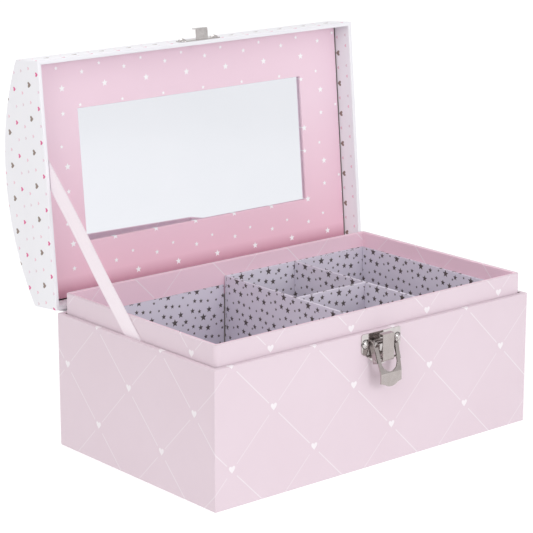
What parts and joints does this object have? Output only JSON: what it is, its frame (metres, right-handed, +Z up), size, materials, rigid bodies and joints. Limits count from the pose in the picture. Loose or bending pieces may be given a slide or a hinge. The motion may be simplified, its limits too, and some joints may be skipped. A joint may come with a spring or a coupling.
{
  "type": "domed keepsake box with latch",
  "caption": "Domed paper-covered board jewellery box: lid hinged at the back with a mirror and ribbon stay, collar, open well and divided tray, draw latch in front.",
  "frame": {"origin": "centre of the underside, on the surface the box stands on", "axes": "+X along the box's width to the right seen from the latch, +Y to the hinged back, +Z up"},
  "size_m": [0.28, 0.2388, 0.2719],
  "materials": {
    "grey_board": "matte grey board",
    "star_card": "matte white board printed with dark stars",
    "nickel_plate": "bright nickel plate on pressed steel",
    "nickel_pins": "bright nickel plate",
    "diamond_paper": "matte pale pink paper, white diamond lattice with hearts",
    "underside_paper": "plain white paper",
    "heart_paper": "matte white paper with small hearts",
    "hinge_cloth": "white paper-faced hinge cloth",
    "pink_star_panel": "matte pink board with white stars",
    "looking_glass": "silvered flat glass",
    "satin_ribbon": "pale pink satin"
  },
  "bodies": {
    "base": {"base_bottom_board": "grey_board", "base_wall_front": "grey_board", "base_wall_back": "grey_board", "base_wall_left": "grey_board", "base_wall_right": "grey_board", "collar_front": "grey_board", "collar_back": "grey_board", "collar_left": "grey_board", "collar_right": "grey_board", "well_liner_card": "star_card", "tray_floor": "star_card", "tray_wall_front": "star_card", "tray_wall_back": "star_card", "tray_wall_left": "star_card", "tray_wall_right": "star_card", "tray_divider_long": "star_card", "tray_divider_cross": "star_card", "latch_plate": "nickel_plate", "latch_rivets": "nickel_pins", "lever_pin": "nickel_pins", "base_wrap_paper": "diamond_paper", "collar_wrap_paper": "diamond_paper", "base_underside_paper": "underside_paper", "hinge_strip": "hinge_cloth", "ribbon_stay": "satin_ribbon"},
    "lid": {"lid_wall_front": "grey_board", "lid_wall_back": "grey_board", "lid_end_left": "grey_board", "lid_end_right": "grey_board", "lid_dome_board": "grey_board", "lid_wrap_paper": "heart_paper", "lid_lining_paper": "heart_paper", "lid_panel_board": "pink_star_panel", "mirror_glass": "looking_glass", "mirror_bed_frame": "grey_board", "mirror_backing_card": "grey_board", "panel_cleats": "grey_board", "latch_keeper": "nickel_plate", "keeper_rivets": "nickel_pins"},
    "lever": {"latch_lever": "nickel_plate", "claw_pin": "nickel_pins"},
    "claw": {"latch_claw": "nickel_plate"}
  },
  "joints": [
    {"name": "lid_hinge", "type": "hinge", "parent": "base", "child": "lid", "pos_m": [0, 0.0855, 0.0941], "axis": [1, 0, 0], "range_deg": [0, 95], "deforming": ["ribbon_stay", "hinge_strip"]},
    {"name": "latch_lever_pivot", "type": "hinge", "parent": "base", "child": "lever", "pos_m": [0, -0.0877, 0.0862], "axis": [-1, 0, 0], "range_deg": [0, 110]},
    {"name": "latch_claw_pivot", "type": "hinge", "parent": "lever", "child": "claw", "pos_m": [0, -0.09073, 0.07563], "axis": [-1, 0, 0], "range_deg": [-110, 0]}
  ],
  "couplings": [
    {"joint": "latch_claw_pivot", "follows": "latch_lever_pivot", "ratio": -1}
  ]
}
